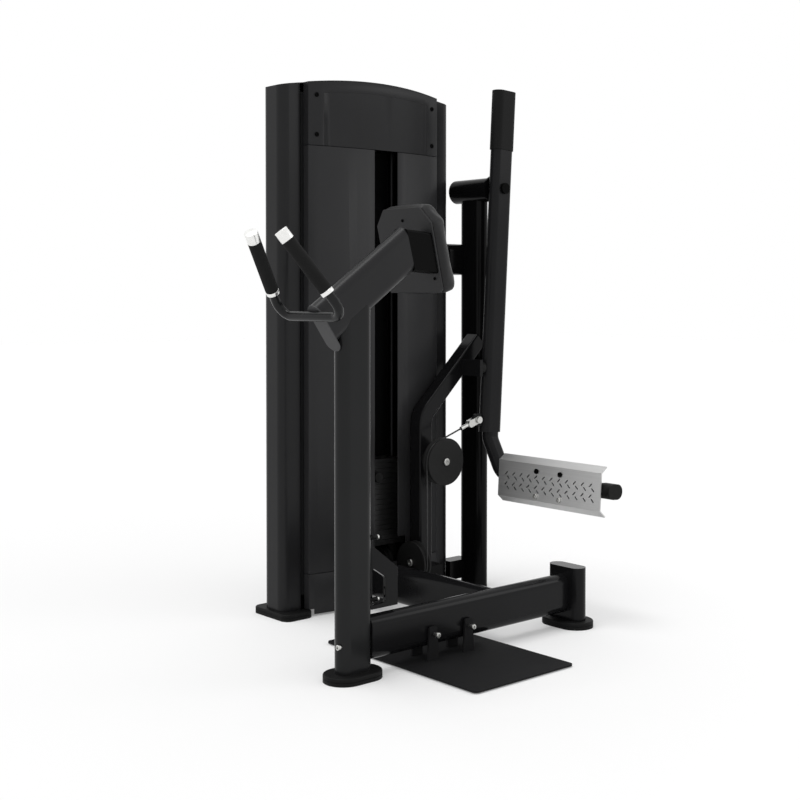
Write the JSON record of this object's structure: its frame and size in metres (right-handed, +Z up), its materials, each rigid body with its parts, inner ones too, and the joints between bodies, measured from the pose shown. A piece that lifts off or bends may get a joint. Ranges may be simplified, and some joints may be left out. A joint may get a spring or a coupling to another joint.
{
  "type": "glute machine",
  "caption": "Standing rear-kick glute machine with chest pad and handles, swinging leg arm with footplate, cable over sheaves and a covered weight stack.",
  "frame": {"origin": "on the floor under the middle of the front column", "axes": "+Z up, +X from the handles along the floor beam toward the swing arm, +Y from the floor beam toward the weight tower"},
  "size_m": [1.2596, 1.011, 1.593],
  "materials": {
    "aluminium": "turned aluminium",
    "arm_paint": "satin black powder coat",
    "bolt_steel": "zinc plated steel",
    "cable_cover": "coated steel cable",
    "chrome": "polished chrome",
    "cover_paint": "semi-gloss charcoal paint",
    "frame_paint": "satin black powder coat",
    "grip_rubber": "matt ribbed rubber",
    "plastic": "moulded black plastic",
    "rubber_black": "matt black rubber",
    "sheave_plastic": "moulded nylon",
    "stack_paint": "black painted steel plates",
    "tread_steel": "brushed stainless steel",
    "vinyl": "dark padded vinyl"
  },
  "bodies": {
    "frame": {"base_beam": "frame_paint", "beam_end_cap": "plastic", "cover_screws": "bolt_steel", "cover_strips": "frame_paint", "diagonal_beam": "frame_paint", "end_bracket": "frame_paint", "floor_feet": "rubber_black", "foot_platform": "frame_paint", "frame_bolts": "bolt_steel", "front_axles": "bolt_steel", "front_column": "frame_paint", "front_plinth": "cover_paint", "grips": "grip_rubber", "guide_rods": "chrome", "gusset_plate": "frame_paint", "handle_bar": "frame_paint", "handle_caps": "aluminium", "handle_rings": "aluminium", "head_panel": "cover_paint", "inner_axles": "bolt_steel", "left_column": "cover_paint", "left_shroud": "cover_paint", "link_beam": "frame_paint", "machine_cable": "cable_cover", "pad_arm": "frame_paint", "pad_backplate": "plastic", "pad_cushion": "vinyl", "pivot_bearings": "bolt_steel", "pivot_hub": "frame_paint", "rear_cover": "cover_paint", "resting_plates": "stack_paint", "right_column": "cover_paint", "right_shroud": "cover_paint", "stack_buffers": "rubber_black", "stop_bumper": "rubber_black", "strut_shoe": "frame_paint", "strut_with_stop": "frame_paint", "tower_cap": "cover_paint", "tower_cross_beams": "frame_paint", "tower_ties": "frame_paint", "upright_post": "frame_paint"},
    "arm": {"arm_beam": "arm_paint", "arm_sleeve": "rubber_black", "foot_bar": "arm_paint", "bar_end_cap": "rubber_black", "footplate": "tread_steel", "footplate_mount": "frame_paint", "footplate_bolts": "bolt_steel", "hinge_shaft": "arm_paint"},
    "rod_end": {"rod_end_fork": "bolt_steel"},
    "front_cable": {"arm_cable": "cable_cover"},
    "stack": {"lifted_stack": "stack_paint", "stack_cable": "cable_cover"},
    "pin": {"selector_pin": "plastic"},
    "upper_wheel": {"upper_sheave": "sheave_plastic"},
    "lower_wheel": {"lower_sheave": "sheave_plastic"},
    "inner_wheel": {"inner_sheave": "sheave_plastic"},
    "top_wheel": {"top_sheave": "sheave_plastic"}
  },
  "joints": [
    {"name": "arm_swing", "type": "hinge", "parent": "frame", "child": "arm", "pos_m": [0.9272, 0.4102, 1.282], "axis": [0, -1, 0], "range_deg": [0, 50]},
    {"name": "rod_end_pivot", "type": "hinge", "parent": "arm", "child": "rod_end", "pos_m": [0.82722, 0.4102, 0.55579], "axis": [0, -1, 0], "range_deg": [-52, 0]},
    {"name": "cable_pull", "type": "slide", "parent": "rod_end", "child": "front_cable", "axis": [-0.9478, 0, -0.319], "range_m": [0, 0.631], "deforming": ["arm_cable"]},
    {"name": "weight_lift", "type": "slide", "parent": "frame", "child": "stack", "axis": [0, 0, 1], "range_m": [0, 0.631], "deforming": ["stack_cable"]},
    {"name": "pin_draw", "type": "slide", "parent": "stack", "child": "pin", "axis": [0, -1, 0], "range_m": [0, 0.055]},
    {"name": "upper_spin", "type": "hinge", "parent": "frame", "child": "upper_wheel", "pos_m": [0.6835, 0.4102, 0.4374], "axis": [0, 1, 0], "range_deg": [0, 553]},
    {"name": "lower_spin", "type": "hinge", "parent": "frame", "child": "lower_wheel", "pos_m": [0.6175, 0.4702, 0.1277], "axis": [-1, 0, 0], "range_deg": [0, 608]},
    {"name": "inner_spin", "type": "hinge", "parent": "frame", "child": "inner_wheel", "pos_m": [0.6175, 0.624, 0.1077], "axis": [-1, 0, 0], "range_deg": [0, 912]},
    {"name": "top_spin", "type": "hinge", "parent": "frame", "child": "top_wheel", "pos_m": [0.58625, 0.6405, 1.478], "axis": [-0.601, 0.7992, 0], "range_deg": [0, 933]}
  ],
  "couplings": [
    {"joint": "rod_end_pivot", "follows": "arm_swing", "ratio": -1.0244},
    {"joint": "cable_pull", "follows": "arm_swing", "m_per_rad": 0.7084},
    {"joint": "weight_lift", "follows": "arm_swing", "m_per_rad": 0.7084},
    {"joint": "upper_spin", "follows": "arm_swing", "ratio": 10.733},
    {"joint": "lower_spin", "follows": "arm_swing", "ratio": 11.807},
    {"joint": "inner_spin", "follows": "arm_swing", "ratio": 17.71},
    {"joint": "top_spin", "follows": "arm_swing", "ratio": 18.118}
  ]
}
